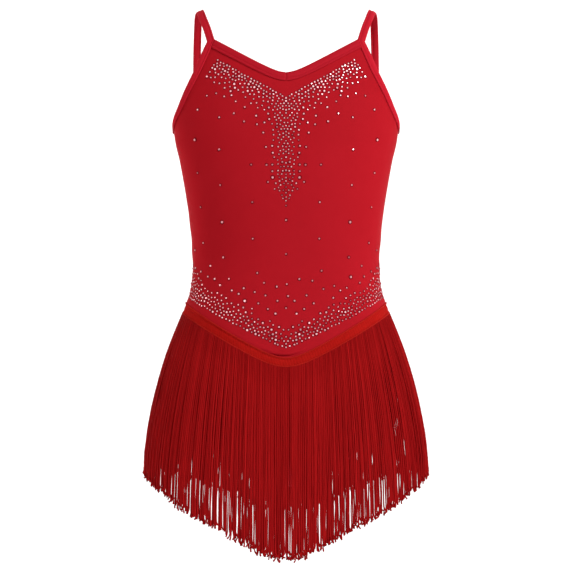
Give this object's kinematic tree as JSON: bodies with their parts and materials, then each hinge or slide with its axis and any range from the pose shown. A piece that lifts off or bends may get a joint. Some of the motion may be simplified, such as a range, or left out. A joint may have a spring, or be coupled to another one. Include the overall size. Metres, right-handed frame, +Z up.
{
  "type": "latin dance leotard",
  "caption": "Child's latin dance leotard with thin shoulder straps, a bound V neckline and a V-set skirt of long fringe, in the hollow shape it has when worn.",
  "frame": {"origin": "midway between the two shoulder straps, level with the undersides that bear on the wearer's shoulders", "axes": "+Z up, -Y out of the front of the garment, +X to the wearer's left"},
  "size_m": [0.3066, 0.2222, 0.5855],
  "materials": {
    "spandex": "satin",
    "binding": "satin",
    "fringe": "satin"
  },
  "bodies": {
    "root": {"front_panel": "spandex", "back_panel": "spandex", "neck_binding_front": "binding", "neck_binding_back": "binding", "strap_loop_left": "binding", "strap_loop_right": "binding", "fringe_front": "fringe", "fringe_back": "fringe"}
  },
  "joints": []
}
